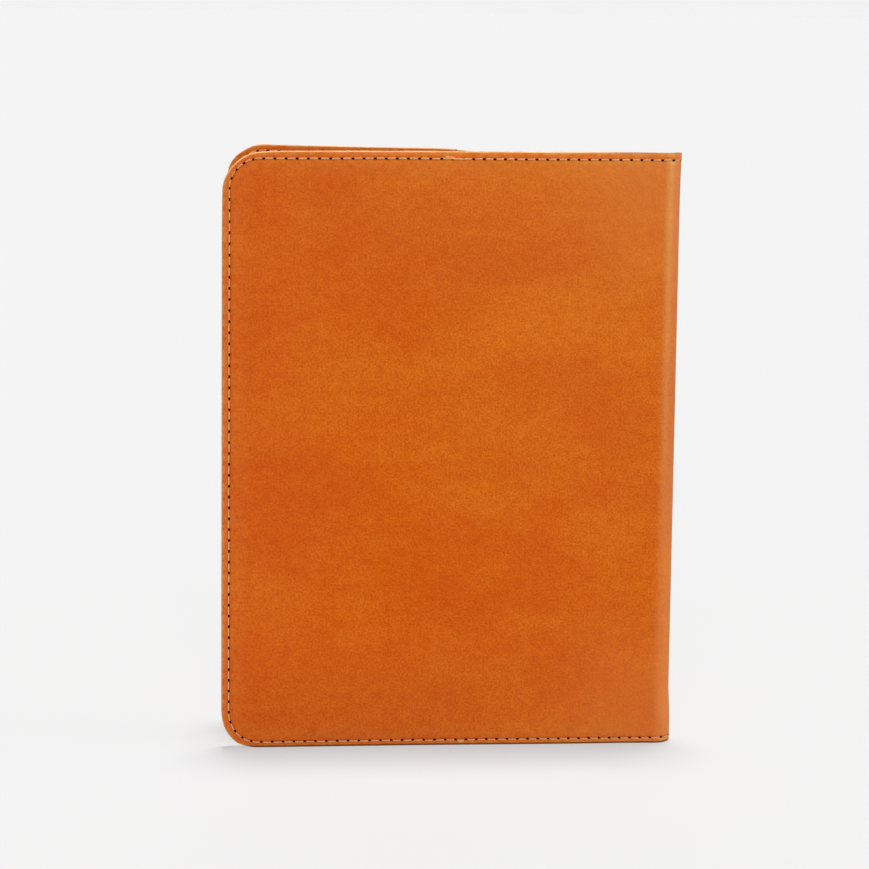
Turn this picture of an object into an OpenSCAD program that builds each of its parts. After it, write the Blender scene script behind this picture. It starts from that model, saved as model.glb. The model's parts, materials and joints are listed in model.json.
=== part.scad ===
// Leather notebook cover, standing upright on its bottom edges with the covers a little open.
// X runs along the covers from the fore edge (-X) to the spine (+X), Z is up, and the back cover is on -Y.
// The origin is the centre of the overall box, on the bottom edges.

/* [Covers] */
// Height of the covers, top edge to bottom edge
cover_h = 266; // [200:1:320]
// Length of each cover from the centre of the spine to the fore edge
cover_len = 195; // [150:1:250]
// Radius of the two rounded corners at each fore edge
corner_r = 16.5; // [4:0.5:30]
// Angle by which each cover stands open from the closed position
rest_open = 5.4; // [2:0.1:12]

/* [Leather] */
// Thickness of the outer leather
wrap_t = 2; // [1.6:0.1:2.4]
// Thickness of the lining leather
lining_t = 0.8; // [0.6:0.1:1.2]
// Thickness of the pocket leather
pocket_t = 1.6; // [1.2:0.1:2]
// Outside radius of the spine's round back
spine_r = 8; // [7.5:0.1:12]

/* [Pockets] */
// Width of each pocket from the fore edge to its open edge
pocket_w = 103; // [60:1:130]

/* [Stitching] */
// Distance of the stitch line from the leather's edge
seam_inset = 3.3; // [2.5:0.1:5]
// Width of the thread
thread_w = 0.7; // [0.5:0.1:1]
// Depth that the thread is pulled into the leather
thread_t = 0.4; // [0.3:0.05:0.5]

/* [Hidden] */
$fn = 96;

// Radii of the layers where they bend round the spine, outside to inside.
lining_r = spine_r - wrap_t;
inner_r = lining_r - lining_t;
pocket_r = inner_r - pocket_t;
// The outer leather keeps its length along its middle.
middle_r = spine_r - wrap_t / 2;
// Half of the angle through which the spine bends at rest.
half_bend = 90 - rest_open;
// The line about which a cover turns, so that the leather lies flat when the cover is fully open.
hinge_angle = half_bend / 2;
hinge_r = middle_r * (half_bend * PI / 360) / sin(hinge_angle);
// The crease: clearance at the hinge line, and how far its sides lean away beyond what the fold needs.
crease_gap = 0.08;
crease_lean = 2;
crease_reach = 12;
// Past every edge, so that a cut goes right through.
past = 1;
// The overall box runs from the pockets' fore edges to the round of the spine.
low_x = pocket_r * sin(rest_open) - cover_len * cos(rest_open);
centre_x = -(low_x + spine_r) / 2;

tan_outer = [0.80, 0.38, 0.12];
tan_lining = [0.84, 0.62, 0.40];
tan_pocket = [0.76, 0.36, 0.14];
thread_cream = [0.86, 0.70, 0.55];

// A square corner of side r less a quarter of a circle, which rounds the corner at [x, y].
module corner_waste(x, y, sx, sy, r) {
    translate([x, y]) scale([sx, sy]) difference() {
        translate([-past, -past]) square(r + past);
        translate([r, r]) circle(r);
    }
}

// Outline of a cover laid flat, held in from its edges by inset, from the fore edge to x = 0.
module cover_outline(inset) {
    length = cover_len - inset;
    difference() {
        translate([-length, inset]) square([length, cover_h - 2 * inset]);
        corner_waste(-length, inset, 1, 1, corner_r - inset);
        mirror([0, 1]) corner_waste(-length, inset - cover_h, 1, 1, corner_r - inset);
    }
}

// Stands a flat outline up as a sheet between two distances from the spine's centre, on the back cover's side.
module sheet(r_in, r_out) {
    translate([0, -r_in, 0]) rotate([90, 0, 0]) linear_extrude(r_out - r_in) children();
}

// A curved strip round the spine from angle a to angle b, between two radii and two heights.
module bend(r_in, r_out, a, b, z0, z1) {
    rotate([0, 0, a]) rotate_extrude(angle = b - a) translate([r_in, z0]) square([r_out - r_in, z1 - z0]);
}

// The wedge-sided prism on one side of the hinge line that a fold keeps free, with the hinge on +X.
module crease(side) {
    lean_out = tan(half_bend / 2 + crease_lean);
    lean_in = tan(rest_open / 2 + crease_lean);
    far = hinge_r + crease_reach;
    near = hinge_r - crease_reach;
    scale([1, side, 1]) translate([0, 0, -past]) linear_extrude(cover_h + 2 * past) polygon([
        [near, -crease_reach],
        [far, -crease_reach],
        [far, crease_gap + crease_reach * lean_out],
        [hinge_r, crease_gap],
        [near, crease_gap + crease_reach * lean_in],
    ]);
}

// Cuts the crease's side out of a layer of the back cover, and out of a layer of the spine.
module cover_side() {
    difference() {
        children();
        rotate([0, 0, -hinge_angle]) crease(-1);
    }
}

module spine_side() {
    difference() {
        children();
        rotate([0, 0, -hinge_angle]) crease(1);
        rotate([0, 0, hinge_angle]) crease(-1);
    }
}

// One layer of the back cover: flat to the fore edge, and bent from the flat to the hinge line.
module cover_layer(r_in, r_out) {
    cover_side() union() {
        rotate([0, 0, rest_open]) sheet(r_in, r_out) cover_outline(0);
        bend(r_in, r_out, -half_bend, -hinge_angle + crease_lean, 0, cover_h);
    }
}

// One layer of the spine, from one hinge line to the other.
module spine_layer(r_in, r_out) {
    spine_side() bend(r_in, r_out, -hinge_angle - crease_lean, hinge_angle + crease_lean, 0, cover_h);
}

// The band that the thread follows, from the top of the spine round the fore edge to the bottom.
module seam_band() {
    difference() {
        cover_outline(seam_inset - thread_w / 2);
        cover_outline(seam_inset + thread_w / 2);
    }
}

// The part of the flat cover that the pocket covers, and the part that it leaves open.
module over_pocket() {
    intersection() {
        children();
        translate([-cover_len - past, -past]) square([pocket_w + past, cover_h + 2 * past]);
    }
}

module past_pocket() {
    intersection() {
        children();
        translate([pocket_w - cover_len, -past]) square([cover_len - pocket_w, cover_h + 2 * past]);
    }
}

// The two lengths of thread, top and bottom, that follow a bend.
module bend_threads(r_in, r_out, a, b) {
    for (z = [seam_inset, cover_h - seam_inset])
        bend(r_in, r_out, a, b, z - thread_w / 2, z + thread_w / 2);
}

// Thread outside the back cover.
module needle_path() {
    cover_side() union() {
        rotate([0, 0, rest_open]) sheet(spine_r - thread_t, spine_r) seam_band();
        bend_threads(spine_r - thread_t, spine_r, -half_bend, -hinge_angle + crease_lean);
    }
}

// Thread inside the back cover, on the lining past the pocket.
module bobbin_lining_path() {
    cover_side() union() {
        rotate([0, 0, rest_open]) sheet(inner_r, inner_r + thread_t) past_pocket() seam_band();
        bend_threads(inner_r, inner_r + thread_t, -half_bend, -hinge_angle + crease_lean);
    }
}

// Thread inside the back cover, on the pocket.
module bobbin_pocket_path() {
    rotate([0, 0, rest_open]) sheet(pocket_r, pocket_r + thread_t) over_pocket() seam_band();
}

module spine_threads(r_in, r_out) {
    spine_side() bend_threads(r_in, r_out, -hinge_angle - crease_lean, hinge_angle + crease_lean);
}

module cover_leather() {
    difference() {
        cover_layer(lining_r, spine_r);
        needle_path();
    }
}

module cover_lining() {
    difference() {
        cover_layer(inner_r, lining_r);
        bobbin_lining_path();
    }
}

module cover_pocket() {
    difference() {
        rotate([0, 0, rest_open]) sheet(pocket_r, inner_r) over_pocket() cover_outline(0);
        bobbin_pocket_path();
    }
}

// Puts a piece drawn about the spine's centre in its place, and mirrors the back cover's piece for the front.
module placed() {
    translate([centre_x, 0, 0]) children();
}

module facing() {
    placed() mirror([0, 1, 0]) children();
}

module back_leather() { color(tan_outer) placed() cover_leather(); }
module back_lining() { color(tan_lining) placed() cover_lining(); }
module back_pocket() { color(tan_pocket) placed() cover_pocket(); }
module back_needle_thread() { color(thread_cream) placed() needle_path(); }
module back_bobbin_thread() {
    color(thread_cream) placed() {
        bobbin_pocket_path();
        bobbin_lining_path();
    }
}

module spine_leather() {
    color(tan_outer) placed() difference() {
        spine_layer(lining_r, spine_r);
        spine_threads(spine_r - thread_t, spine_r);
    }
}
module spine_lining() {
    color(tan_lining) placed() difference() {
        spine_layer(inner_r, lining_r);
        spine_threads(inner_r, inner_r + thread_t);
    }
}
module spine_needle_thread() { color(thread_cream) placed() spine_threads(spine_r - thread_t, spine_r); }
module spine_bobbin_thread() { color(thread_cream) placed() spine_threads(inner_r, inner_r + thread_t); }

module front_leather() { color(tan_outer) facing() cover_leather(); }
module front_lining() { color(tan_lining) facing() cover_lining(); }
module front_pocket() { color(tan_pocket) facing() cover_pocket(); }
module front_needle_thread() { color(thread_cream) facing() needle_path(); }
module front_bobbin_thread() {
    color(thread_cream) facing() {
        bobbin_pocket_path();
        bobbin_lining_path();
    }
}

back_leather();
back_lining();
back_pocket();
back_needle_thread();
back_bobbin_thread();
spine_leather();
spine_lining();
spine_needle_thread();
spine_bobbin_thread();
front_leather();
front_lining();
front_pocket();
front_needle_thread();
front_bobbin_thread();
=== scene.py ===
"""Leather notebook cover, standing upright a little open on a pale floor.

The looks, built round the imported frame. Every sheet of leather is a flat pattern with its needle holes,
wrapped round the spine, and every stitch is a length of thread that dips into two holes.
"""

import json
import math

import bpy
import numpy as np
from mathutils import Matrix, Vector
from mathutils.geometry import delaunay_2d_cdt


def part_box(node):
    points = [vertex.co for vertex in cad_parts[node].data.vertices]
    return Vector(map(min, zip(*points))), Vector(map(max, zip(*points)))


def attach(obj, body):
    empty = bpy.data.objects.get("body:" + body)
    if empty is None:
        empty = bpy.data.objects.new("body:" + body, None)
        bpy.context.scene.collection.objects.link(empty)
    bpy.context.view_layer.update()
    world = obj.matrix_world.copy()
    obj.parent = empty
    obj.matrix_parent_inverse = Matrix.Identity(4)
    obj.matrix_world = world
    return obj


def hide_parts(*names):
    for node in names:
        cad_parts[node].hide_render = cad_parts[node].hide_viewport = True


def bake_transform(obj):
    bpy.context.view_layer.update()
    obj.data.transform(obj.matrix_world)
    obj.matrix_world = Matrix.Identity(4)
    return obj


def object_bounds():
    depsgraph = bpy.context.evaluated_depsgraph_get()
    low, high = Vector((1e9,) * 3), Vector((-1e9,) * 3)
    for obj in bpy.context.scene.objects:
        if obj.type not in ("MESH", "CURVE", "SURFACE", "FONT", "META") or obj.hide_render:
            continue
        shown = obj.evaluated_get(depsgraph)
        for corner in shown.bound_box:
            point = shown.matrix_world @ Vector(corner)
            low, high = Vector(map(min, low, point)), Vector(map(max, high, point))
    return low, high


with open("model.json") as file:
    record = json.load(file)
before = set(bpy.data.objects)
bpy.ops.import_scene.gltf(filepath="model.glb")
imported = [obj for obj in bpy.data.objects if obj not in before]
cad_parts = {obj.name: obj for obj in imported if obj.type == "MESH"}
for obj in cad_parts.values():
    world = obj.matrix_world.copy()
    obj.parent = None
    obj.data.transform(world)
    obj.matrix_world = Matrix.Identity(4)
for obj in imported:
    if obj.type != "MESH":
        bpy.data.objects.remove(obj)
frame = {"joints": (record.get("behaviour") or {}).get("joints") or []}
cad_low, cad_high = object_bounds()

# ---------------------------------------------------------------- sizes, in millimetres and radians

MM = 0.001
WRAP_T, LINING_T, POCKET_T = 2.0, 0.8, 1.6   # the three leathers
SPINE_R = 8.0                                # outside of the spine's round back
LINING_R = SPINE_R - WRAP_T                  # outer face of the lining, where it bends round the spine
INNER_R = LINING_R - LINING_T                # outer face of the pockets
POCKET_R = INNER_R - POCKET_T                # inner face of the pockets
MIDDLE_R = SPINE_R - WRAP_T / 2              # where the outer leather keeps its length
CORNER_R = 16.5
SEAM_INSET = 3.3
STITCH = 4.7                                 # about one stitch, hole to hole
THREAD_R = 0.3
HOLE_HALF_L, HOLE_HALF_W = 0.86, 0.45        # a needle hole, along and across the seam
GROOVE, GROOVE_W = 0.2, 0.8                  # how far the thread pulls the leather in, and how wide
MARGIN_PRESS = 0.1                           # how far the margin outside the seam is pressed in
RIM_DROP = 0.12                              # how far the rim of a needle hole is drawn in
BEVEL = 0.4                                  # within this of the edge, a face shows the leather's cut
SHOWS_CUT = 0.2                              # an inner face does only if its edge is rounded by more
POCKET_OVER_TOP = 0.35                       # how far the front pocket stands over its cover's top edge
SHARP_ANGLE = math.radians(40)

HEIGHT = cad_high.z / MM
SPINE_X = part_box("spine_leather")[1].x / MM - SPINE_R
OPEN = math.radians(-next(j for j in frame["joints"] if j["name"] == "back_fold")["range_deg"][0])
BEND = math.pi / 2 - OPEN                    # half of what the spine bends through
S_FLAT = MIDDLE_R * BEND                     # along the leather, from mid-spine to where a cover is flat


def along_cover(node, corner, r):
    """How far along the leather a cover's node reaches, at the low (0) or high (1) corner of its box."""
    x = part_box(node)[corner].x / MM
    return S_FLAT + (SPINE_X + r * math.sin(OPEN) - x) / math.cos(OPEN)


S_FORE = along_cover("back_pocket", 0, POCKET_R)     # the fore edge
S_POCKET = along_cover("back_pocket", 1, INNER_R)    # the pocket's open edge

# ---------------------------------------------------------------- the leather's flat pattern


def smooth(t):
    """0 up to t = 0, 1 from t = 1, and a soft rise between."""
    t = np.clip(t, 0.0, 1.0)
    return t * t * (3 - 2 * t)


def edge_distance(s, z):
    """Distance in from the cut edge that runs along the top, round the fore edge and along the bottom."""
    qs, qz = s - (S_FORE - CORNER_R), np.abs(z - HEIGHT / 2) - (HEIGHT / 2 - CORNER_R)
    straight = np.minimum(S_FORE - s, HEIGHT / 2 - np.abs(z - HEIGHT / 2))
    return np.where((qs > 0) & (qz > 0), CORNER_R - np.hypot(qs, qz), straight)


TOP_RUN = S_FORE - CORNER_R
CORNER_RUN = math.pi / 2 * (CORNER_R - SEAM_INSET)
SIDE_RUN = HEIGHT - 2 * CORNER_R
RAIL = 2 * TOP_RUN + 2 * CORNER_RUN + SIDE_RUN       # the seam, from the spine's top to its bottom


def rail(u, inset):
    """Points of the line that runs inset from the cut edge; u is measured along the seam."""
    u = np.asarray(u, float)
    r = CORNER_R - inset
    marks = np.cumsum([TOP_RUN, CORNER_RUN, SIDE_RUN, CORNER_RUN])
    a = np.clip((u - marks[0]) / CORNER_RUN, 0, 1) * math.pi / 2
    b = np.clip((u - marks[2]) / CORNER_RUN, 0, 1) * math.pi / 2
    s = np.minimum(u, TOP_RUN) + r * np.sin(a) - r * (1 - np.cos(b)) - np.maximum(u - marks[3], 0)
    z = HEIGHT - inset - r * (1 - np.cos(a)) - np.clip(u - marks[1], 0, SIDE_RUN) - r * np.sin(b)
    return s, z


def stitch_holes():
    """Where the needle went through, along the seam. The stitches are a little shorter between the spine and
    the pocket, and round the corners."""
    off_pocket, on_pocket, corner_density = STITCH - 0.1, STITCH + 0.1, 1.12
    past = round(S_POCKET / off_pocket)
    on = round((RAIL - 2 * S_POCKET) / on_pocket)
    first = (np.arange(past) + 0.5) * S_POCKET / past
    along = np.linspace(S_POCKET, RAIL - S_POCKET, 2000)
    from_corner = np.abs(np.abs(along - RAIL / 2) - (SIDE_RUN + CORNER_RUN) / 2)
    stitches = np.cumsum(np.where(from_corner < CORNER_RUN / 2, corner_density, 1.0))
    middle = np.interp((np.arange(on) + 0.5) / on * stitches[-1], stitches, along)
    return np.concatenate([first, middle, RAIL - first[::-1]])


HOLES = stitch_holes()
ON_POCKET = (HOLES > S_POCKET) & (HOLES < RAIL - S_POCKET)
# The mesh: rows of points run along the cut edges and the seam, at these distances in from the edge.
EDGE_ROWS = [0, 0.07, 0.18, 0.36, 0.62, 1.0, 1.5, 2.0]
SEAM_ROWS = [SEAM_INSET + d for d in (-0.72, -0.5, 0, 0.5, 0.72, 1.3, 2.2, 3.5)]
NEAR_SEAM = 1.0                              # rows this close to the seam take the seam's step
# Steps between points round the spine, beside the seam, along the edges and over the faces.
SPINE_STEP, SEAM_STEP, EDGE_STEP, FACE_STEP = 0.5, 0.8, 1.15, 3.5
FACE_INSET = SEAM_ROWS[-1] + 1.5             # the face's own grid of points starts here
FACE_LEVELS, OPEN_EDGE_LEVELS = 77, 190      # points up the face, and up the pocket's open edge
FINE_TO = S_FLAT + 4.0                       # SPINE_STEP is used up to here
HOLE_SIDES = 12
HOLE_CLEARANCE = 0.16                        # other points stay this far from a hole
SAME_POINT = 0.03                            # points closer than this are made one
LEAST_AREA = 1e-7                            # slivers of less than half this are left out


def runs(low, high, fine, coarse, fine_to):
    """Steps from low to high, fine up to fine_to and coarse after it."""
    out = [low]
    while out[-1] < high - 1e-6:
        out.append(out[-1] + (fine if out[-1] < fine_to else coarse))
    return np.array(out[:-1] + [high])


def hole_rims(holes):
    """The points round each needle hole, the edges that join them, and each hole's middle."""
    middle_s, middle_z = rail(holes, SEAM_INSET)
    ahead_s, ahead_z = rail(holes + 0.01, SEAM_INSET)
    turns = np.arctan2(ahead_z - middle_z, ahead_s - middle_s)
    around = np.linspace(0, 2 * math.pi, HOLE_SIDES, endpoint=False)
    along, across = HOLE_HALF_L * np.cos(around), HOLE_HALF_W * np.sin(around)
    middles = list(zip(middle_s, middle_z))
    points, edges = [], []
    for (s, z), turn in zip(middles, turns):
        n = len(points)
        points += list(zip(s + along * math.cos(turn) - across * math.sin(turn),
                           z + along * math.sin(turn) + across * math.cos(turn)))
        edges += [(n + i, n + (i + 1) % HOLE_SIDES) for i in range(HOLE_SIDES)]
    return points, edges, middles


def seam_steps(s_low, step):
    """Places along the whole seam, the same distances from its top end as from its bottom end."""
    half = runs(s_low, RAIL / 2, SPINE_STEP, step, FINE_TO)
    return np.concatenate([half, RAIL - half[::-1][1:]])


def upright_row(s, levels):
    """Points up the pattern at one distance from the spine."""
    z = np.linspace(0, HEIGHT, levels)
    return np.stack([np.full_like(z, s), z], 1)


def pattern_points(s_low):
    """The pattern's points other than the holes' rims: rows along its edges and seam, and a grid inside."""
    u_edge, u_seam = seam_steps(s_low, EDGE_STEP), seam_steps(s_low, SEAM_STEP)
    rows = [np.stack(rail(u_edge, d), 1) for d in EDGE_ROWS]
    for d in SEAM_ROWS:
        u = u_seam if abs(d - SEAM_INSET) < NEAR_SEAM else u_edge
        rows.append(np.stack(rail(u, d), 1))
    columns = runs(s_low, S_FORE, SPINE_STEP, FACE_STEP, FINE_TO)
    s, z = np.meshgrid(columns, np.linspace(0, HEIGHT, FACE_LEVELS))
    inside = edge_distance(s, z) > FACE_INSET
    rows.append(np.stack([s[inside], z[inside]], 1))
    if s_low > 0:                                     # the pocket's open edge
        rows += [upright_row(s_low + d, OPEN_EDGE_LEVELS) for d in EDGE_ROWS]
    else:                                             # the middle of the spine
        rows.append(upright_row(0.0, FACE_LEVELS))
    points = np.concatenate(rows)
    return points[points[:, 0] >= s_low - 1e-9]


def spaced(points, middles):
    """The points that are clear of every needle hole, with those that nearly coincide made one."""
    nearest = np.full(len(points), np.inf)
    for s, z in middles:
        nearest = np.minimum(nearest, np.hypot(points[:, 0] - s, points[:, 1] - z))
    points = points[nearest > HOLE_HALF_L + HOLE_CLEARANCE]
    cell = np.round(points / SAME_POINT).astype(int)
    return points[np.sort(np.unique(cell, axis=0, return_index=True)[1])]


def flat_mesh(s_low, holes):
    """Triangles of the pattern from s_low to the fore edge, laid flat, with its needle holes cut out.
    Returns the points, the triangles, and for each point whether it is on a hole's rim."""
    rim_points, hole_edges, middles = hole_rims(holes)
    points = [Vector(p) for p in rim_points + spaced(pattern_points(s_low), middles).tolist()]
    verts, _, faces, origin, _, _ = delaunay_2d_cdt(points, hole_edges, [], 0, 1e-6, True)
    flat = np.array([(v.x, v.y) for v in verts])
    rim = np.array([min(o) // HOLE_SIDES if o and min(o) < len(rim_points) else -1 for o in origin])
    tris = np.array([f[:] for f in faces])
    one_rim = (rim[tris[:, 0]] == rim[tris[:, 1]]) & (rim[tris[:, 1]] == rim[tris[:, 2]])
    tris = tris[~((rim[tris[:, 0]] >= 0) & one_rim)]
    a, b, c = flat[tris[:, 0]], flat[tris[:, 1]], flat[tris[:, 2]]
    area = (b[:, 0] - a[:, 0]) * (c[:, 1] - a[:, 1]) - (b[:, 1] - a[:, 1]) * (c[:, 0] - a[:, 0])
    tris, area = tris[np.abs(area) > LEAST_AREA], area[np.abs(area) > LEAST_AREA]
    tris[area < 0] = tris[area < 0][:, ::-1]
    used = np.unique(tris)
    index = np.full(len(flat), -1)
    index[used] = np.arange(len(used))
    return flat[used], index[tris], rim[used] >= 0


# ---------------------------------------------------------------- from the flat pattern to its place


def waviness(s, z, side):
    """How far the hand-cut leather stands off a true plane, outwards, growing away from the spine."""
    grow = smooth((s - S_FLAT) / 60)
    a, b = (s - S_FLAT) / (S_FORE - S_FLAT) * math.pi, z / HEIGHT * math.pi
    if side < 0:
        bow, ripple = 0.9, 0.35 * np.sin(2.3 * a + 0.6) * np.cos(1.7 * b + 0.4)
    else:
        bow, ripple = 0.7, 0.4 * np.sin(1.9 * a + 2.0) * np.cos(2.1 * b - 0.5)
    return grow * (bow * np.sin(a) * np.sin(b) + ripple)


def settle_back(s, z, corner, top):
    """How far the back cover's leather is moved from the true pattern, away from the spine and up."""
    corner = corner * (1 - smooth(edge_distance(s, z) / SEAM_INSET))
    spine_rise = 0.4 * smooth((75 - s) / 60)
    lift = 0.1 + 0.5 * np.sin(math.pi * s / S_FORE) + spine_rise
    return -0.75 * corner, top * lift - 1.0 * corner


def settle_front(s, z, corner, top):
    """The same for the front cover. Its fore corner is fuller, and its top edge sags between the spine and
    the pocket."""
    below_top, from_fore = HEIGHT - z, S_FORE - s
    d = edge_distance(s, z)
    sag = 1.6 * smooth((S_POCKET + 9 - s) / 30) * smooth(s / 25)
    lift = 0.12 + 0.3 * smooth((s - 120) / 80) - sag
    fullness = 0.85 * np.exp(-((below_top - 9) / 6) ** 2 - (from_fore / 14) ** 2)
    near_seam = smooth(d / 2.5) * (1 - smooth((d - 4.5) / 8))
    raised_seam = near_seam * np.exp(-((from_fore - 16) / 22) ** 2 - below_top / 12)
    return 0.75 * corner + fullness, top * lift + 0.55 * corner + raised_seam


def settle(s, z, side):
    """How far wear and the hand cut move the leather from the true pattern, away from the spine and up."""
    top = smooth((z - HEIGHT / 2) / (HEIGHT / 2))
    corner = np.exp(-((S_FORE - s) ** 2 + (HEIGHT - z) ** 2) / 260)
    low_seam = -0.7 * smooth(z / 3) * (1 - smooth((z - 4) / 14))
    outwards, upwards = (settle_back if side < 0 else settle_front)(s, z, corner, top)
    return outwards, upwards + low_seam


def spine_flare(s, z):
    """How far the spine's round spreads at its top and its foot."""
    flare = 0.7 * np.exp(-(HEIGHT - z) / 7.0) + 0.75 * smooth((26 - z) / 16)
    return flare * np.exp(-np.maximum(s - S_FLAT * 0.6, 0) / 5.0)


def place(s, z, r, side):
    """The place, in metres, of a point of the leather: s from the middle of the spine, z up, and r out from
    the spine's centre line. side is -1 for the back cover and 1 for the front."""
    s, z = np.asarray(s, float), np.asarray(z, float)
    r = r + waviness(s, z, side) + spine_flare(s, z)
    outwards, upwards = settle(s, z, side)
    s, z = s + outwards, z + upwards
    phi = np.minimum(s, S_FLAT) / MIDDLE_R
    d = np.maximum(s - S_FLAT, 0)
    x = SPINE_X + r * np.cos(phi) - d * math.cos(OPEN)
    y = r * np.sin(phi) + d * math.sin(OPEN)
    return np.stack([x, side * y, z], -1) * MM


def rounding(d, radius):
    """How far a face falls away within radius of its edge."""
    t = np.clip(radius - d, 0, radius)
    return radius - np.sqrt(np.maximum(radius ** 2 - t ** 2, 0))


def groove(s, z):
    """How far the seam and the margin outside it are pressed in."""
    d = edge_distance(s, z)
    margin = MARGIN_PRESS * smooth((SEAM_INSET + 1.5 - d) / 3)
    return GROOVE * np.exp(-((d - SEAM_INSET) / GROOVE_W) ** 2) + margin


def new_object(name, verts, faces, uses, materials, attributes):
    """A smooth mesh in the scene. uses is each face's material, and attributes are values on its points."""
    mesh = bpy.data.meshes.new(name)
    mesh.from_pydata(np.asarray(verts).tolist(), [], faces)
    for m in materials:
        mesh.materials.append(m)
    mesh.polygons.foreach_set("material_index", np.asarray(uses, np.int32))
    mesh.polygons.foreach_set("use_smooth", np.full(len(mesh.polygons), True))
    for key, values in attributes.items():
        values = np.asarray(values, np.float32)
        kind = "FLOAT_VECTOR" if values.ndim == 2 else "FLOAT"
        layer = mesh.attributes.new(key, kind, "POINT")
        layer.data.foreach_set("vector" if values.ndim == 2 else "value", values.ravel())
    mesh.validate()
    mesh.update()
    mesh.set_sharp_from_angle(angle=SHARP_ANGLE)
    obj = bpy.data.objects.new(name, mesh)
    bpy.context.scene.collection.objects.link(obj)
    return obj


OUTER_FACE, INNER_FACE, CUT, HOLE_WALL = range(4)    # a sheet's materials, in this order


def edge_walls(tris, rim):
    """Faces that join the outer and inner face round every open edge of the mesh, and their materials."""
    n = len(rim)
    directed = np.concatenate([tris[:, [0, 1]], tris[:, [1, 2]], tris[:, [2, 0]]]).tolist()
    both = set(map(tuple, directed))
    open_edges = [(a, b) for a, b in directed if (b, a) not in both]
    walls = [(b, a, a + n, b + n) for a, b in open_edges]
    return walls, [HOLE_WALL if rim[a] and rim[b] else CUT for a, b in open_edges]


def leather_sheet(name, side, pattern, s_low, r_in, r_out, round_in, round_out,
                  grooves, glued, materials, lift=None):
    """One layer of leather: two faces round the flat pattern, closed by its cut edges and its holes' walls.
    s_low is where the pattern starts, r_in and r_out are its faces' radii at the spine, and round_in and
    round_out the rounding of their edges. grooves and glued say, for the outer and the inner face, whether
    the seam is pressed into it and whether it is glued to another layer. lift says how far inwards the sheet
    stands off. materials are in the order of OUTER_FACE to HOLE_WALL."""
    flat, tris, rim = pattern
    s, z = flat[:, 0], flat[:, 1]
    d = edge_distance(s, z)
    if s_low > 0:
        d = np.minimum(d, s - s_low)
    d = np.maximum(d, 0)
    fall_out = rounding(d, round_out) + (groove(s, z) if grooves[0] else 0) + np.where(rim, RIM_DROP, 0)
    fall_in = rounding(d, round_in) + (groove(s, z) if grooves[1] else 0) + np.where(rim, RIM_DROP, 0)
    raised = lift(s, z) if lift else np.zeros_like(s)
    if lift and side > 0:
        z = z + POCKET_OVER_TOP * (1 - smooth((HEIGHT - z) / 2.6))
    outer = place(s, z, r_out - fall_out - raised, side)
    inner = place(s, z, r_in + fall_in - raised, side)
    out_tris = tris if side < 0 else tris[:, ::-1]
    walls, wall_uses = edge_walls(out_tris, rim)
    n = len(flat)
    faces = [tuple(t) for t in out_tris.tolist()] + [tuple((t + n)[::-1]) for t in out_tris] + walls
    bevel = d[tris].max(1) < BEVEL
    out_uses = np.where(bevel, CUT, OUTER_FACE)
    in_uses = np.where(bevel & (round_in > SHOWS_CUT), CUT, INNER_FACE)
    outer_uv = np.stack([s * side, flat[:, 1], np.zeros_like(s)], 1) * MM
    inner_uv = outer_uv - np.array([0, 0, r_out - r_in]) * MM
    attributes = {
        "flat": np.concatenate([outer_uv, inner_uv]),
        "across": np.repeat([0.0 if glued[0] else 0.5, 1.0 if glued[1] else 0.5], n),
        "edge_mm": np.concatenate([d, d]),
        "seam_mm": np.tile(edge_distance(s, z), 2),
    }
    return new_object(name, np.concatenate([outer, inner]), faces,
                      [*out_uses.tolist(), *in_uses.tolist(), *wall_uses], materials, attributes)


# ---------------------------------------------------------------- thread

THREAD_SIDES = 10
THREAD_LEAN = 0.22                           # the pulled thread lies towards the cut edge
THREAD_WIDE, THREAD_TALL = 1.08, 0.82        # the pulled thread is a little flattened
PLY_RIPPLE, PLY_TURNS = 0.07, 1.6            # how the plies swell its girth, and their turns in a stitch
TWIST_RUN = 3                                # the twist attribute runs from 0 to this along a stitch
# the holes' material is painted shade
HOLE_HEIGHT = -0.3                           # below this the thread takes the holes' material
ON_LEATHER, IN_HOLE = range(2)               # a thread's materials, in this order
# Half a stitch: the distance from the middle of its hole, the height over the leather and the girth.
STITCH_RINGS = [(0.0, -1.4, 1.6), (0.2, -1.1, 1.2), (0.4, -0.6, 0.9), (0.6, -0.16, 0.9),
                (0.9, 0.06, 1.0), (1.35, 0.12, 1.0), (1.85, 0.14, 1.0)]
RING_COUNT = 2 * len(STITCH_RINGS)


def stitch_rings(u0, u1):
    """(place along the seam, height, girth) of the rings of a stitch from a hole at u0 to one at u1."""
    near = [(u0 + d, h, g) for d, h, g in STITCH_RINGS]
    far = [(u1 - d, h, g) for d, h, g in reversed(STITCH_RINGS)]
    return np.array(near + far)


def thread_ring(u, share, level, height, girth, aside, outward, side):
    """The points round the thread at one ring. u is its place along the seam, share how far along the stitch
    it is, level its radius from the spine's centre line and aside its shift away from the cut edge."""
    turn = np.linspace(0, 2 * math.pi, THREAD_SIDES, endpoint=False)
    ripple = 1 + PLY_RIPPLE * np.cos(2 * (turn + share * 2 * math.pi * PLY_TURNS))
    wide = THREAD_R * girth * THREAD_WIDE * ripple * np.cos(turn)
    tall = THREAD_R * girth * THREAD_TALL * ripple * np.sin(turn)
    lean = (aside - THREAD_LEAN) * math.sin(share * math.pi) ** 0.6
    s, z = rail(np.full(THREAD_SIDES, u), SEAM_INSET + lean)
    s_seam, z_seam = rail(u, SEAM_INSET)
    s_inner, z_inner = rail(u, SEAM_INSET + 1.0)
    across_s, across_z = s_inner - s_seam, z_inner - z_seam
    reach = max(math.hypot(across_s, across_z), 1e-6)
    r = level + outward * (height - GROOVE * 0.9 + tall)
    return place(s + wide * across_s / reach, z + wide * across_z / reach, r, side).tolist()


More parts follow.
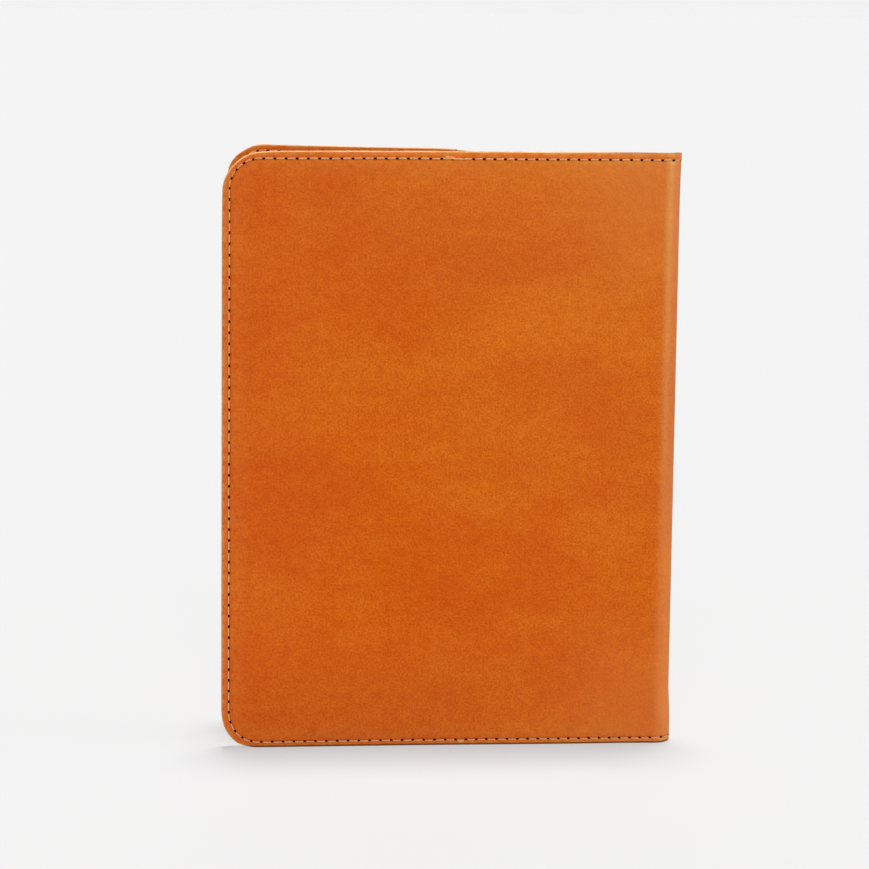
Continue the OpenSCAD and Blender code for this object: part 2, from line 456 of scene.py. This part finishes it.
def tube_faces(base, heights, facing):
    """The faces of a stitch whose points start at base, its two ends closed, and each face's material."""
    faces, uses = [], []
    for i in range(RING_COUNT - 1):
        for k in range(THREAD_SIDES):
            a = base + i * THREAD_SIDES + k
            b = base + i * THREAD_SIDES + (k + 1) % THREAD_SIDES
            face = (a, b, b + THREAD_SIDES, a + THREAD_SIDES)
            faces.append(face if facing > 0 else face[::-1])
            uses.append(IN_HOLE if min(heights[i], heights[i + 1]) < HOLE_HEIGHT else ON_LEATHER)
    first = tuple(range(base, base + THREAD_SIDES))
    last = tuple(range(base + (RING_COUNT - 1) * THREAD_SIDES, base + RING_COUNT * THREAD_SIDES))
    ends = [first[::-1], last] if facing > 0 else [first, last[::-1]]
    return faces + ends, uses + [IN_HOLE, IN_HOLE]


def thread_run(name, side, stitches, outward, materials):
    """All stitches of one side of a seam as one mesh. Each stitch is (u0, u1, radius at each end from the
    spine's centre line, sideways shift, girth, extra height). outward is 1 on the outside of the cover and
    -1 on the inside. materials are in the order of ON_LEATHER and IN_HOLE."""
    verts, faces, uses, twist = [], [], [], []
    for u0, u1, r0, r1, aside, girth, high in stitches:
        places, heights, girths = stitch_rings(u0, u1).T
        shares = (places - u0) / (u1 - u0)
        levels = r0 + (r1 - r0) * smooth((shares - 0.25) * 2)
        new_faces, new_uses = tube_faces(len(verts), heights, side * outward)
        faces += new_faces
        uses += new_uses
        for u, share, level, h, g in zip(places, shares, levels, heights, girths):
            over = h + high * math.sin(share * math.pi)
            verts += thread_ring(u, share, level, over, girth * g, aside, outward, side)
            twist += [(share * TWIST_RUN, k / THREAD_SIDES, -h) for k in range(THREAD_SIDES)]
    return new_object(name, verts, faces, uses, materials, {"twist": twist})


# Where the thread is sewn over itself, at the ends of the pocket's open edge. Each strand is its start and
# its end, in millimetres away from the spine from the pocket's nearest hole, then its sideways shift, girth
# and extra height. Outside, the low tack lies on the spine's side of that hole.
TACK = [(-1.5, 4.3, -0.3, 0.95, 0.12), (0.2, 5.0, -0.75, 0.8, 0.0),
        (-2.3, 2.6, -0.05, 0.95, 0.42), (-1.7, 3.1, -0.65, 0.75, 0.35)]
TOP_TACK_OUTSIDE = TACK + [(-6.0, 0.3, 0.2, 0.85, 0.05)]
LOW_TACK_OUTSIDE = [(-9.3, -4.8, -0.65, 1.4, 0.2), (-8.9, -5.1, -1.3, 1.2, 0.05)]


def tack_strands(inside, surface):
    """The strands sewn over the seam at the top and at the bottom of the pocket's open edge."""
    first = np.argmax(ON_POCKET)
    last = len(HOLES) - 1 - first
    top, low = (TACK, TACK) if inside else (TOP_TACK_OUTSIDE, LOW_TACK_OUTSIDE)
    out = []
    for hole, way, strands in ((first, 1, top), (last, -1, low)):
        for start, end, aside, girth, high in strands:
            u0, u1 = sorted((HOLES[hole] + way * start, HOLES[hole] + way * end))
            out.append((u0, u1, surface[hole], surface[hole], aside, girth, high))
    return out


def seam_stitches(inside, crosses):
    """The stitches of one half. crosses says whether it has the stitches over the middle of the spine."""
    out = []
    surface = np.where(ON_POCKET, POCKET_R, INNER_R) if inside else np.full(len(HOLES), SPINE_R)
    for k in range(len(HOLES) - 1):
        uneven = math.sin(k * 12.99) * 0.5 + math.sin(k * 4.13 + 1) * 0.5
        out.append((HOLES[k], HOLES[k + 1], surface[k], surface[k + 1],
                    0.13 * uneven, 1 + 0.07 * uneven, 0.05 * uneven))
    if crosses:
        for middle in (0.0, RAIL):
            out.append((middle - HOLES[0], middle + HOLES[0], surface[0], surface[0], 0.0, 1.0, 0.0))
    return out + tack_strands(inside, surface)


# ---------------------------------------------------------------- materials


class Nodes:
    """A material's node tree, with short ways to add and link nodes."""

    def __init__(self, name):
        self.material = bpy.data.materials.new(name)
        self.material.use_nodes = True
        self.tree = self.material.node_tree
        self.tree.nodes.clear()
        self.shader = self.add("ShaderNodeBsdfPrincipled")
        out = self.add("ShaderNodeOutputMaterial")
        self.link(self.shader.outputs[0], out.inputs[0])

    def add(self, kind, **settings):
        node = self.tree.nodes.new(kind)
        for key, value in settings.items():
            setattr(node, key, value)
        return node

    def link(self, a, b):
        self.tree.links.new(a, b)

    def feed(self, socket, value):
        if isinstance(value, bpy.types.NodeSocket):
            self.link(value, socket)
        else:
            socket.default_value = value

    def attribute(self, name, out="Fac"):
        return self.add("ShaderNodeAttribute", attribute_name=name).outputs[out]

    def math(self, operation, a, b=0.0):
        node = self.add("ShaderNodeMath", operation=operation)
        self.feed(node.inputs[0], a)
        self.feed(node.inputs[1], b)
        return node.outputs[0]

    def weighted(self, *parts):
        """The sum of (value, share) pairs."""
        scaled = [self.math("MULTIPLY", value, share) for value, share in parts]
        total = scaled[0]
        for value in scaled[1:]:
            total = self.math("ADD", total, value)
        return total

    def ramp(self, value, low, high, out_low=0.0, out_high=1.0):
        """value from low..high to out_low..out_high, smoothly and clamped."""
        node = self.add("ShaderNodeMapRange", interpolation_type="SMOOTHSTEP")
        for socket, v in zip(node.inputs, (value, low, high, out_low, out_high)):
            self.feed(socket, v)
        return node.outputs[0]

    def scaled(self, vector, scale):
        node = self.add("ShaderNodeVectorMath", operation="MULTIPLY")
        self.feed(node.inputs[0], vector)
        node.inputs[1].default_value = scale
        return node.outputs[0]

    def shifted(self, vector, by):
        node = self.add("ShaderNodeVectorMath", operation="ADD")
        self.feed(node.inputs[0], vector)
        node.inputs[1].default_value = by
        return node.outputs[0]

    def noise(self, vector, scale, detail=4.0, rough=0.55, distort=0.0):
        node = self.add("ShaderNodeTexNoise")
        self.link(vector, node.inputs["Vector"])
        settings = {"Scale": scale, "Detail": detail, "Roughness": rough, "Distortion": distort}
        for key, value in settings.items():
            node.inputs[key].default_value = value
        return node.outputs["Fac"]

    def cells(self, vector, scale):
        node = self.add("ShaderNodeTexVoronoi")
        self.link(vector, node.inputs["Vector"])
        node.inputs["Scale"].default_value = scale
        return node.outputs["Distance"]

    def split(self, vector, axis):
        node = self.add("ShaderNodeSeparateXYZ")
        self.link(vector, node.inputs[0])
        return node.outputs[axis]

    def along(self, at):
        """Distance along the leather from the middle of the spine."""
        return self.math("ABSOLUTE", self.split(at, 0))

    def height(self, at):
        return self.split(at, 1)

    def standing(self):
        """Painted shade under the leather's foot, where it stands on the floor: only its lowest millimetre
        is darkened.
        """
        return self.ramp(self.height(self.attribute("flat", "Vector")), 0.0016, 0.0007, 0.0, 0.9)

    def mix(self, factor, a, b, blend="MIX"):
        node = self.add("ShaderNodeMix", data_type="RGBA", blend_type=blend)
        self.feed(node.inputs["Factor"], factor)
        for socket, value in ((node.inputs[6], a), (node.inputs[7], b)):
            self.feed(socket, value if isinstance(value, bpy.types.NodeSocket) else (*value, 1.0))
        return node.outputs[2]

    def bump(self, height, strength, distance, normal=None):
        node = self.add("ShaderNodeBump")
        self.link(height, node.inputs["Height"])
        node.inputs["Strength"].default_value = strength
        node.inputs["Distance"].default_value = distance
        if normal:
            self.link(normal, node.inputs["Normal"])
        return node.outputs["Normal"]


# painted shade: the colour of the shade under the leather's foot, where it stands on the floor
CONTACT_SHADE = (0.10, 0.028, 0.008)
GLOSS_TINT = (0.7, 1.0, 0.10, 1.0)


def times(factor, colour):
    """A colour made lighter or darker."""
    return tuple(factor * x for x in colour)


def clouded(n, at, dark, light, patches):
    """The leather's own colour: clouds, bands and patches between a dark and a light colour."""
    clouds = n.noise(n.scaled(at, (1.0, 1.9, 1.0)), 11.0, 3.0, 0.5, 0.5)
    bands = n.noise(n.scaled(at, (0.45, 2.6, 1.0)), 14.0, 3.0, 0.5, 0.3)
    clouding = n.weighted((clouds, 0.5), (bands, 0.3), (patches, 0.2))
    return n.mix(n.ramp(clouding, 0.40, 0.61), dark, light)


def speckled(n, colour, grain, mottle):
    """Each grain is a little lighter or darker than the next."""
    speckle = n.weighted((grain, 0.75), (mottle, 0.25))
    tint = n.mix(n.ramp(speckle, 0.32, 0.68), (0.875, 0.56, 0.0), (1.125, 1.46, 2.6))
    return n.mix(1.0, colour, tint, "MULTIPLY")


def rubbed_edges(n, at, edge, colour):
    """Paler along the cut edges, where hands rub it, and unevenly so."""
    uneven = n.ramp(n.noise(at, 330.0, 4.0), 0.36, 0.62, 0.15, 1.0)
    rubbed = n.math("MULTIPLY", n.ramp(edge, 2.4, 0.1), uneven)
    colour = n.mix(n.math("MULTIPLY", rubbed, 0.55), colour, (0.78, 0.32, 0.10))
    border = n.math("MULTIPLY", n.ramp(edge, 15.0, 3.0), uneven)
    return n.mix(n.math("MULTIPLY", border, 0.24), colour, (0.70, 0.23, 0.05))


def painted_spine_sheen(n, at, edge, colour):
    """Painted sheen and a painted highlight: paler near the spine's ends, a painted highlight along the
    round of the spine, most of all low on it, and painted sheen that makes it a little bluer towards the cut
    edges."""
    along, height = n.along(at), n.height(at)
    # painted sheen: paler near the spine's ends
    painted_sheen = n.math("MULTIPLY", n.ramp(along, 0.07, 0.015), n.ramp(edge, 75.0, 10.0))
    colour = n.mix(n.math("MULTIPLY", painted_sheen, 0.3), colour, (0.70, 0.20, 0.04))
    # painted highlight: the pale band along the round of the spine, paler still low on it
    pale = n.mix(n.ramp(along, 0.0045, 0.0072), (0.53, 0.145, 0.02), (0.55, 0.138, 0.05))
    painted_highlight_low = n.mix(n.ramp(along, 0.0055, 0.008), (0.71, 0.25, 0.055), (0.66, 0.16, 0.05))
    pale = n.mix(n.ramp(height, 0.165, 0.055), pale, painted_highlight_low)
    colour = n.mix(n.ramp(along, 0.0125, 0.0075, 0.0, 0.4), colour, pale)
    # painted sheen: a little bluer towards the cut edges
    return n.mix(n.ramp(edge, 80.0, 10.0, 0.0, 0.08), colour, (0.62, 0.10, 0.05))


def marked(n, at, seam, colour, dark, mottle):
    """The marks on it and painted shade: a dark line painted as shade in the seam's groove, a few spots, the
    lower part away from the spine painted darker as shade, and a dark foot painted as the shade where it
    stands.
    """
    # painted shade: the seam's groove is darkened where shade falls in it
    from_seam = n.math("ABSOLUTE", n.math("SUBTRACT", seam, SEAM_INSET))
    colour = n.mix(n.ramp(from_seam, 1.0, 0.3, 0.0, 0.4), colour, times(0.65, dark))
    spots = n.math("MULTIPLY", n.ramp(n.cells(at, 34.0), 0.028, 0.012), n.ramp(mottle, 0.5, 0.62))
    colour = n.mix(n.math("MULTIPLY", spots, 0.6), colour, times(0.4, dark))
    # painted shade: darker low down and away from the spine, where less light reaches the cover
    low = n.math("MULTIPLY", n.ramp(n.height(at), 0.052, 0.012), n.ramp(n.along(at), 0.05, 0.14))
    colour = n.mix(low, colour, (0.93, 0.83, 0.9), "MULTIPLY")
    return n.mix(n.standing(), colour, CONTACT_SHADE)


def grain_leather(name, dark, light, seed, roughness=0.5):
    """Smooth burnished vegetable-tanned leather, clouded between a dark and a light colour. seed moves the
    clouds and the grain to other places."""
    n = Nodes(name)
    at = n.shifted(n.attribute("flat", "Vector"), (seed, seed * 0.7, 0.0))
    edge, seam = n.attribute("edge_mm"), n.attribute("seam_mm")
    patches = n.noise(n.scaled(at, (1.0, 1.4, 1.0)), 60.0, 4.0, 0.6, 0.5)
    mottle = n.noise(at, 240.0, 3.0, 0.6)
    grain = n.noise(at, 1050.0, 3.0, 0.65)
    fine = n.noise(at, 2600.0, 2.0, 0.5)
    pores = n.ramp(n.cells(at, 640.0), 0.0, 0.5)
    colour = speckled(n, clouded(n, at, dark, light, patches), grain, mottle)
    colour = painted_spine_sheen(n, at, edge, rubbed_edges(n, at, edge, colour))
    n.link(marked(n, at, seam, colour, dark, mottle), n.shader.inputs["Base Color"])
    rough = n.math("ADD", roughness - 0.08, n.math("MULTIPLY", patches, 0.16))
    n.link(rough, n.shader.inputs["Roughness"])
    n.shader.inputs["Specular IOR Level"].default_value = 0.18
    n.shader.inputs["Specular Tint"].default_value = GLOSS_TINT
    waves = n.bump(n.math("ADD", mottle, patches), 0.25, 0.0004)
    height = n.weighted((grain, 0.6), (fine, 0.25), (pores, 0.3))
    n.link(n.bump(height, 0.4, 0.00012, waves), n.shader.inputs["Normal"])
    return n.material


def flesh_leather(name, base, dark):
    """Matt leather with a short fibrous nap."""
    n = Nodes(name)
    at = n.attribute("flat", "Vector")
    nap = n.noise(at, 420.0, 5.0, 0.7, 0.5)
    fibres = n.noise(n.scaled(at, (1.0, 3.2, 1.0)), 1500.0, 3.0, 0.6)
    clouds = n.noise(at, 22.0, 4.0, 0.55)
    colour = n.mix(n.ramp(clouds, 0.35, 0.7), base, dark)
    colour = n.mix(n.ramp(nap, 0.4, 0.7, 0.0, 0.4), colour, times(1.2, base))
    colour = n.mix(n.ramp(fibres, 0.45, 0.75, 0.0, 0.3), colour, times(0.7, dark))
    n.link(colour, n.shader.inputs["Base Color"])
    n.shader.inputs["Roughness"].default_value = 0.85
    n.shader.inputs["Specular IOR Level"].default_value = 0.15
    n.shader.inputs["Sheen Weight"].default_value = 0.15
    height = n.math("ADD", nap, n.math("MULTIPLY", fibres, 0.5))
    n.link(n.bump(height, 0.5, 0.0002), n.shader.inputs["Normal"])
    return n.material


def edge_leather(name, base, dark):
    """A cut edge, rubbed smooth and waxed, with the fibres still showing, and darker round the spine."""
    n = Nodes(name)
    at = n.attribute("flat", "Vector")
    fibres = n.noise(at, 1900.0, 4.0, 0.7)
    blotches = n.noise(at, 130.0, 3.0, 0.6)
    colour = n.mix(n.ramp(blotches, 0.35, 0.68), base, dark)
    colour = n.mix(n.ramp(fibres, 0.42, 0.72, 0.0, 0.5), colour, times(0.6, dark))
    # painted shade under the foot, where the edge stands on the floor
    colour = n.mix(n.standing(), colour, CONTACT_SHADE)
    from_core = n.math("ABSOLUTE", n.math("SUBTRACT", n.attribute("across"), 0.5))
    glue = n.ramp(from_core, 0.38, 0.49, 0.0, 0.7)
    colour = n.mix(glue, colour, (0.16, 0.055, 0.018))
    burnished = n.ramp(n.along(at), 0.05, 0.02, 0.0, 0.75)
    colour = n.mix(burnished, colour, (0.24, 0.075, 0.02))
    n.link(colour, n.shader.inputs["Base Color"])
    n.shader.inputs["Roughness"].default_value = 0.85
    n.shader.inputs["Specular IOR Level"].default_value = 0.08
    n.link(n.bump(fibres, 0.4, 0.0001), n.shader.inputs["Normal"])
    return n.material


def hole_wall(name, base):
    """The inside of a needle hole: painted near black as shade, and with no gloss at all."""
    n = Nodes(name)
    fibres = n.noise(n.attribute("flat", "Vector"), 2400.0, 3.0)
    n.link(n.mix(fibres, base, times(0.4, base)), n.shader.inputs["Base Color"])
    n.shader.inputs["Roughness"].default_value = 1.0
    n.shader.inputs["IOR"].default_value = 1.0
    return n.material


def thread_material(name, base, dark, hole_shade):
    """Waxed twisted thread: diagonal plies, darker in the middle of a stitch, and painted near black as
    shade deep in a hole.
    """
    n = Nodes(name)
    twist = n.attribute("twist", "Vector")
    along, around, depth = (n.split(twist, axis) for axis in range(3))
    phase = n.weighted((along, 12.6), (around, 4 * math.pi))
    plies = n.math("ADD", n.math("MULTIPLY", n.math("SINE", phase), 0.5), 0.5)
    fuzz = n.noise(n.scaled(twist, (3.0, 2.0, 1.0)), 2.6, 3.0)
    colour = n.mix(plies, dark, base)
    colour = n.mix(n.ramp(fuzz, 0.4, 0.7, 0.0, 0.35), colour, times(0.75, base))
    from_middle = n.math("ABSOLUTE", n.math("SUBTRACT", along, TWIST_RUN / 2))
    colour = n.mix(n.ramp(from_middle, 1.1, 0.3, 0.0, 0.4), colour, dark)
    # painted shade: the thread is darkened to near black deep in a hole
    colour = n.mix(n.ramp(depth, -0.04, 0.3), colour, hole_shade)
    n.link(colour, n.shader.inputs["Base Color"])
    n.shader.inputs["Roughness"].default_value = 0.8
    n.shader.inputs["Specular IOR Level"].default_value = 0.08
    height = n.math("ADD", plies, n.math("MULTIPLY", fuzz, 0.4))
    n.link(n.bump(height, 0.5, 0.00008), n.shader.inputs["Normal"])
    return n.material


OUTER = grain_leather("outer_leather", (0.582, 0.0665, 0.0012), (0.624, 0.1010, 0.0022), 0.0)
POCKET = grain_leather("pocket_leather", (0.60, 0.105, 0.003), (0.66, 0.145, 0.014), 3.7, 0.55)
LINING = flesh_leather("lining_leather", (0.62, 0.33, 0.15), (0.54, 0.26, 0.10))
FLESH = flesh_leather("flesh_side", (0.60, 0.32, 0.14), (0.50, 0.24, 0.09))
CUT_EDGE = edge_leather("cut_edge", (0.62, 0.34, 0.15), (0.54, 0.25, 0.09))
LINING_EDGE = edge_leather("lining_edge", (0.46, 0.24, 0.10), (0.36, 0.17, 0.06))
# painted shade: the needle holes' walls are coloured near black
NEEDLE_HOLE_SHADE = hole_wall("needle_hole", (0.06, 0.001, 0.0))
# the thread's last colour is painted shade, for its length deep in a hole
THREAD = thread_material("thread", (0.92, 0.44, 0.17), (0.60, 0.23, 0.075), (0.05, 0.001, 0.0))

# ---------------------------------------------------------------- the cover

wrap_pattern = flat_mesh(0.0, HOLES)
lining_pattern = flat_mesh(0.0, HOLES[~ON_POCKET])
pocket_pattern = flat_mesh(S_POCKET, HOLES[ON_POCKET])


def pocket_lift(s, z):
    """How far the pocket stands off its lining: nothing at its seam, most midway along its open edge."""
    most, reach = 1.3, 75
    free = smooth((edge_distance(s, z) - 5) / 45)
    return most * free * smooth(1 - (s - S_POCKET) / reach)


def fold_points(side):
    """Where the leather starts to leave the spine and where it has joined the cover."""
    start = Vector((SPINE_X + MIDDLE_R, 0, HEIGHT / 2)) * MM
    end = Vector(place(np.array(S_FLAT), np.array(HEIGHT / 2), np.array(MIDDLE_R), side).tolist())
    return start, end


for side, half in ((-1, "back"), (1, "front")):
    body = half + "_cover"
    start, end = fold_points(side)
    wrap = leather_sheet(half + "_wrap", side, wrap_pattern, 0.0, LINING_R, SPINE_R,
                         round_in=0.1, round_out=0.55, grooves=(True, False), glued=(False, True),
                         materials=[OUTER, FLESH, CUT_EDGE, NEEDLE_HOLE_SHADE])
    lining = leather_sheet(half + "_lining_sheet", side, lining_pattern, 0.0, INNER_R, LINING_R,
                           round_in=0.12, round_out=0.08, grooves=(False, True), glued=(True, True),
                           materials=[FLESH, LINING, LINING_EDGE, NEEDLE_HOLE_SHADE])
    pocket = leather_sheet(half + "_pocket_flap", side, pocket_pattern, S_POCKET, POCKET_R, INNER_R,
                           round_in=0.45, round_out=0.1, grooves=(False, True), glued=(True, False),
                           materials=[FLESH, POCKET, CUT_EDGE, NEEDLE_HOLE_SHADE], lift=pocket_lift)
    outside = seam_stitches(inside=False, crosses=side < 0)
    needle = thread_run(half + "_needle_stitches", side, outside, 1, [THREAD, NEEDLE_HOLE_SHADE])
    inside = seam_stitches(inside=True, crosses=side < 0)
    bobbin = thread_run(half + "_bobbin_stitches", side, inside, -1, [THREAD, NEEDLE_HOLE_SHADE])
    for piece, slot in ((wrap, "outer_leather"), (lining, "lining_leather"),
                        (needle, "thread"), (bobbin, "thread")):
        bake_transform(piece)
    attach(pocket, body)
    spine_too = ["spine_"] if side < 0 else []
    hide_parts(half + "_leather", *[p + "leather" for p in spine_too])
    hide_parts(half + "_lining", *[p + "lining" for p in spine_too])
    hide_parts(half + "_pocket")
    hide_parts(half + "_needle_thread", *[p + "needle_thread" for p in spine_too])
    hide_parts(half + "_bobbin_thread", *[p + "bobbin_thread" for p in spine_too])

# ---------------------------------------------------------------- floor, light and camera

FLOOR_REACH, FLOOR_SQUARES = 60.0, 10        # metres to each side, and squares from side to side
SOFTBOX_DISTANCE = 1.2                       # metres from the middle of the cover


def make_floor(glow, albedo):
    """A plain floor that glows a little, as a lit sweep does, so that shadows on it stay pale."""
    steps = np.linspace(-FLOOR_REACH, FLOOR_REACH, FLOOR_SQUARES + 1)
    x, y = np.meshgrid(steps, steps)
    verts = np.stack([x.ravel(), y.ravel(), np.zeros(x.size)], 1)
    across = len(steps)
    faces = [(j * across + i, j * across + i + 1, (j + 1) * across + i + 1, (j + 1) * across + i)
             for j in range(across - 1) for i in range(across - 1)]
    n = Nodes("studio_floor")
    n.shader.inputs["Base Color"].default_value = (albedo, albedo, albedo, 1)
    n.shader.inputs["Emission Color"].default_value = (1, 1, 1, 1)
    n.shader.inputs["Emission Strength"].default_value = glow
    n.shader.inputs["Roughness"].default_value = 1.0
    n.shader.inputs["Specular IOR Level"].default_value = 0.0
    floor = new_object("studio_floor", verts, faces, [0] * len(faces), [n.material], {})


def make_world(strength, backdrop):
    """White surroundings of some strength, which the camera itself sees as a plain backdrop."""
    world = bpy.data.worlds.new("studio")
    world.use_nodes = True
    tree = world.node_tree
    back = tree.nodes["Background"]
    back.inputs["Color"].default_value = (1, 1, 1, 1)
    back.inputs["Strength"].default_value = strength
    plain = tree.nodes.new("ShaderNodeBackground")
    plain.inputs["Color"].default_value = (backdrop, backdrop, backdrop, 1)
    path = tree.nodes.new("ShaderNodeLightPath")
    pick = tree.nodes.new("ShaderNodeMixShader")
    tree.links.new(path.outputs["Is Camera Ray"], pick.inputs[0])
    tree.links.new(back.outputs[0], pick.inputs[1])
    tree.links.new(plain.outputs[0], pick.inputs[2])
    tree.links.new(pick.outputs[0], tree.nodes["World Output"].inputs["Surface"])
    bpy.context.scene.world = world


def direction(azimuth, elevation):
    """The way to a light, azimuth degrees round from the front (towards +X) and elevation degrees up."""
    a, e = math.radians(azimuth), math.radians(elevation)
    return Vector((math.sin(a) * math.cos(e), -math.cos(a) * math.cos(e), math.sin(e)))


def add_light(name, kind, towards):
    """A light of one kind, turned to shine from that way. Returns the object and its light."""
    lamp = bpy.data.lights.new(name, kind)
    obj = bpy.data.objects.new(name, lamp)
    obj.rotation_mode = "QUATERNION"
    obj.rotation_quaternion = towards.to_track_quat("Z", "Y")
    bpy.context.scene.collection.objects.link(obj)
    return obj, lamp


def sun(name, azimuth, elevation, strength, spread):
    """A distant soft light, which the gloss doesn't see. spread is how wide it is, in degrees."""
    obj, lamp = add_light(name, "SUN", direction(azimuth, elevation))
    lamp.energy = strength
    lamp.angle = math.radians(spread)
    obj.visible_glossy = False


def softbox(name, azimuth, elevation, size, power, colour=(1, 1, 1)):
    """A rectangular light that only the gloss sees, aimed at the middle of the cover."""
    towards = direction(azimuth, elevation)
    obj, lamp = add_light(name, "AREA", towards)
    lamp.shape = "RECTANGLE"
    lamp.size, lamp.size_y = size
    lamp.energy = power
    lamp.color = colour
    obj.location = Vector((0, 0, HEIGHT / 2 * MM)) + towards * SOFTBOX_DISTANCE
    obj.visible_diffuse = False


def make_camera(distance, elevation, roll, target, lens_mm):
    """The camera looks along +Y from the front, a little down, with a lens for a 36 mm wide sensor."""
    data = bpy.data.cameras.new("camera")
    data.sensor_width = 36.0
    data.lens = lens_mm
    data.clip_start, data.clip_end = 0.05, 400.0
    camera = bpy.data.objects.new("camera", data)
    e = math.radians(elevation)
    back = Vector((0, -math.cos(e), math.sin(e)))
    camera.rotation_mode = "QUATERNION"
    turn = (-back).to_track_quat("-Z", "Y")
    camera.rotation_quaternion = turn @ Matrix.Rotation(math.radians(roll), 4, "Z").to_quaternion()
    camera.location = Vector(target) + back * distance
    bpy.context.scene.collection.objects.link(camera)
    bpy.context.scene.camera = camera


make_floor(glow=0.469, albedo=0.1845)
make_world(strength=0.12, backdrop=0.896)
sun("top_light", 170, 84, 1.77 * math.pi, spread=14)
sun("front_light", 0, 28, 0.435 * math.pi, spread=40)
sun("right_light", 84, 18, 0.28 * math.pi, spread=50)
sun("left_light", -78, 18, 0.2 * math.pi, spread=50)
sun("back_light", 180, 20, 0.35 * math.pi, spread=50)
softbox("side_softbox", 58, 22, (0.3, 0.9), 118, (0.475, 0.475, 1.0))
softbox("rim_softbox", 98, 20, (0.8, 0.9), 12)
softbox("front_softbox", 34, 16, (0.3, 0.3), 17)
make_camera(distance=1.35, elevation=8.31, roll=0.668, target=(-0.00678, 0, 0.13893), lens_mm=124.5)
bpy.context.scene.view_settings.view_transform = "Standard"
